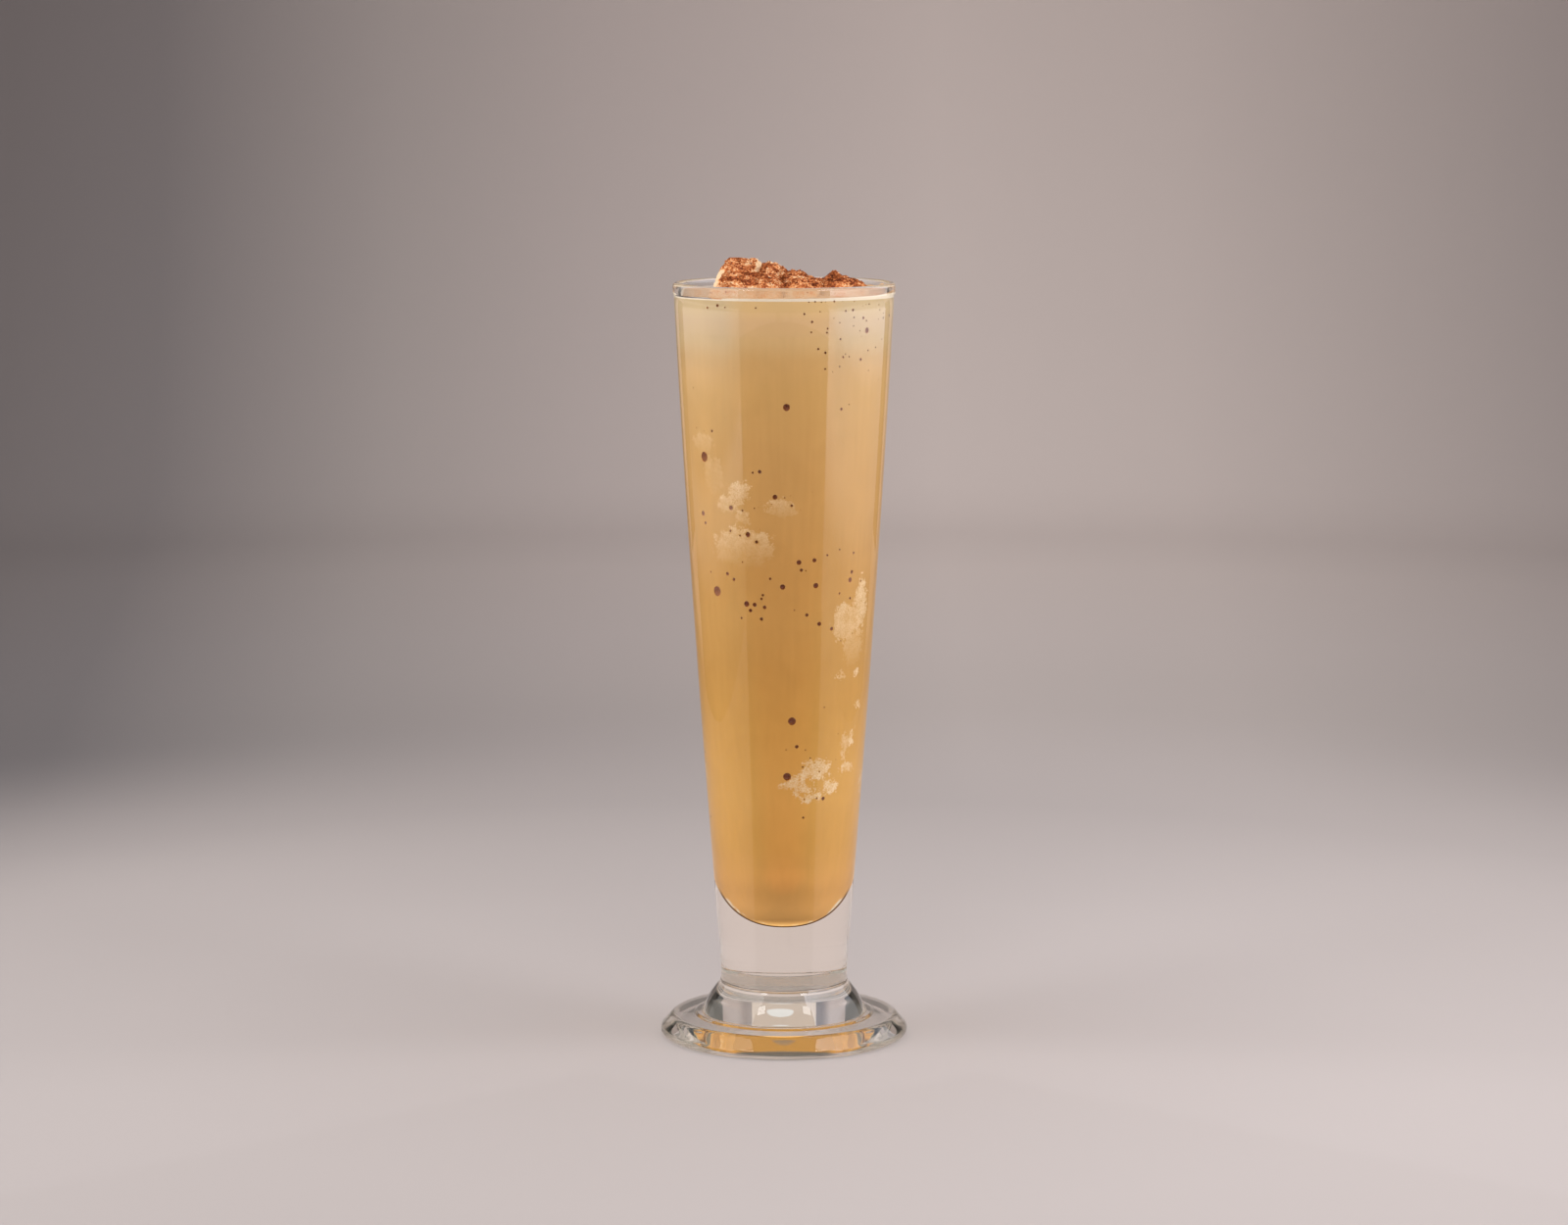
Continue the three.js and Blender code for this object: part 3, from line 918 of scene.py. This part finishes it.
# Painted shade: the froth that lies low, below the rim, is darker and warmer.
low_shade = (1.0 - height.rise(0.2225, 0.2245)).blend((1, 1, 1), (0.7, 0.62, 0.56))
dusted_and_shaded = dusted_and_shaded.times(low_shade)
near_wall = ((x * x + y * y) ** 0.5).rise(froth_edge - 0.9 * MM, froth_edge - 0.5 * MM)
# Painted highlight: a thin white line on the froth where it meets the glass, under the rim's bead.
bead_highlight = height.rise(froth_level - 0.45 * MM, froth_level - 0.2 * MM)
bead_highlight = bead_highlight * (1.0 - height.rise(froth_level + 0.5 * MM, froth_level + 0.9 * MM))
wall_colour_and_light = bead_highlight.blend(with_side_shade(s, drink_tone(height), height), srgb(250, 236, 214))
high_up = height.rise(froth_level + 0.5 * MM, froth_level + 0.9 * MM)
wall_colour_and_light = high_up.blend(wall_colour_and_light, dusted_and_shaded)
near_wall.blend(dusted_and_shaded, wall_colour_and_light).feed(shader, "Base Color")

froth = new_mesh("froth_head", points, faces, froth_finish)
count = len(froth.data.vertices)
normals = np.zeros(count * 3)
froth.data.vertex_normals.foreach_get("vector", normals)
normals = normals.reshape(-1, 3)
cocoa_from = np.array((0.3, -0.5, 0.81))
cocoa_from /= np.linalg.norm(cocoa_from)
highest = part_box("froth")[1].z - 0.12 * MM
dusting = np.zeros(count)
grainy = np.zeros(count)
moved = np.array(points)
for i in range(surface_start, count):
    x, y, z = points[i]
    lift = raised[i - surface_start]
    room = min(1.0, max(0.0, (froth_edge - math.hypot(x, y)) / (2.5 * MM)))
    spot = Vector((x, y, z))
    rough = noise.fractal(spot * 1000, 0.7, 2.2, 4)
    torn = noise.ridged_multi_fractal(spot * 360 + Vector((7, 3, 1)), 0.8, 2.1, 4, 1.0, 2.0)
    ledge = noise.ridged_multi_fractal(Vector((x, y, 2.2 * z)) * 420, 0.8, 2.1, 3, 1.0, 2.0)
    near, next_near = noise.voronoi(spot * 330 + 0.4 * Vector((rough, torn, rough)))[0][:2]
    crack = min(1.0, (next_near - near) / 0.3) - 0.7
    push = 0.14 * rough + 0.26 * (torn - 1.1) + 0.22 * (ledge - 1.1) + 0.45 * crack
    push *= MM * (0.1 + 0.9 * lift) * room
    moved[i] += normals[i] * push
    moved[i][2] = min(moved[i][2], highest)
    facing = float(normals[i] @ cocoa_from)
    patch = 0.5 + 0.5 * noise.noise(spot * 260 + Vector((2, 5, 9)))
    flank = min(1.0, max(0.0, (-0.35 - normals[i][0] - 0.7 * patch) / 0.15))
    flank *= min(1.0, max(0.0, (-14.5 * MM - x) / MM))
    shoulder = min(1.0, max(0.0, (normals[i][0] - 0.1 - 0.4 * patch) / 0.15))
    shoulder *= (abs(x + 6.5 * MM) < 3 * MM) * (z > 228.3 * MM)
    cover = min(1.0, max(0.0, (facing + 0.1) / 0.35)) * (1 - 0.92 * max(flank, shoulder))
    thin = 0.06 + 0.3 * patch**2
    dusting[i] = cover * (thin + (1 - thin) * lift)
    grainy[i] = cover * lift * (0.15 + 0.85 * (patch > 0.5)) * (moved[i][2] < highest - 0.05 * MM)
froth.data.vertices.foreach_set("co", moved.ravel())
froth.data.attributes.new("cocoa", "FLOAT", "POINT").data.foreach_set("value", dusting)
froth.data.attributes.new("grainy", "FLOAT", "POINT").data.foreach_set("value", grainy)
froth.data.update()
froth_surface = froth.data.copy()
dent(froth, [spot for spot in bubble_places if spot[1] > froth_bottom])
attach(froth, "root")
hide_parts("froth")

# The cocoa: dry powder in small dark crumbs that lie where the dusting is thick. Each crumb
# is a small faceted ball, and they are strewn over the froth's surface by chance.
grain_finish, s, shader = new_material("cocoa_grain", Roughness=0.9, Specular_IOR_Level=0.1)
place = s.add("TexCoord", out=3)
dry = s.add("TexNoise", None, {"Vector": place, "Scale": 1200.0, "Detail": 1.0})
dry.rise(0.35, 0.65).blend(srgb(98, 46, 22), srgb(186, 110, 60)).feed(shader, "Base Color")

strewing = bpy.data.node_groups.new("cocoa_grains", "GeometryNodeTree")
wires = strewing.interface
wires.new_socket("Surface", in_out="INPUT", socket_type="NodeSocketGeometry")
wanted = {}
for name, kind, value in (
    ("Grains per area", "NodeSocketFloat", 9.0e6),
    ("Seed", "NodeSocketInt", 5),
    ("Smallest radius", "NodeSocketFloat", 0.05 * MM),
    ("Largest radius", "NodeSocketFloat", 0.16 * MM),
):
    wanted[wires.new_socket(name, in_out="INPUT", socket_type=kind).identifier] = value
wires.new_socket("Grains", in_out="OUTPUT", socket_type="NodeSocketGeometry")


def step(kind, settings=None, inputs=None):
    """A node of the strewing: its settings are set first, then the values or links of inputs."""
    node = strewing.nodes.new(kind)
    for name, value in (settings or {}).items():
        setattr(node, name, value)
    for name, value in (inputs or {}).items():
        if isinstance(value, bpy.types.NodeSocket):
            strewing.links.new(value, node.inputs[name])
        else:
            node.inputs[name].default_value = value
    return node


given = step("NodeGroupInput").outputs
where = step("GeometryNodeInputNamedAttribute", {"data_type": "FLOAT"}, {"Name": "grainy"})
product = {0: where.outputs[0], 1: given["Grains per area"]}
density = step("ShaderNodeMath", {"operation": "MULTIPLY"}, product)
spots = step(
    "GeometryNodeDistributePointsOnFaces",
    {"distribute_method": "RANDOM"},
    {"Mesh": given["Surface"], "Density": density.outputs[0], "Seed": given["Seed"]},
)
crumb_ball = step("GeometryNodeMeshIcoSphere", None, {"Radius": 1.0, "Subdivisions": 1})
size = step(
    "FunctionNodeRandomValue",
    {"data_type": "FLOAT"},
    {2: given["Smallest radius"], 3: given["Largest radius"], "Seed": given["Seed"]},
)
any_turn = {0: (0, 0, 0), 1: (6.28, 6.28, 6.28)}
turn = step("FunctionNodeRandomValue", {"data_type": "FLOAT_VECTOR"}, any_turn)
placed = step(
    "GeometryNodeInstanceOnPoints",
    None,
    {
        "Points": spots.outputs["Points"],
        "Instance": crumb_ball.outputs["Mesh"],
        "Rotation": turn.outputs[0],
        "Scale": size.outputs[1],
    },
)
real = step("GeometryNodeRealizeInstances", None, {"Geometry": placed.outputs[0]})
coloured = step("GeometryNodeSetMaterial", None, {"Geometry": real.outputs[0], "Material": grain_finish})
step("NodeGroupOutput", None, {"Grains": coloured.outputs[0]})

grains = bpy.data.objects.new("cocoa_grains", froth_surface)
bpy.context.collection.objects.link(grains)
strew = grains.modifiers.new("strew", "NODES")
strew.node_group = strewing
for identifier, value in wanted.items():
    strew[identifier] = value
settle(grains)
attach(grains, "root")

corners = [[list(corner) for corner in box] for box in (cad_box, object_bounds())]
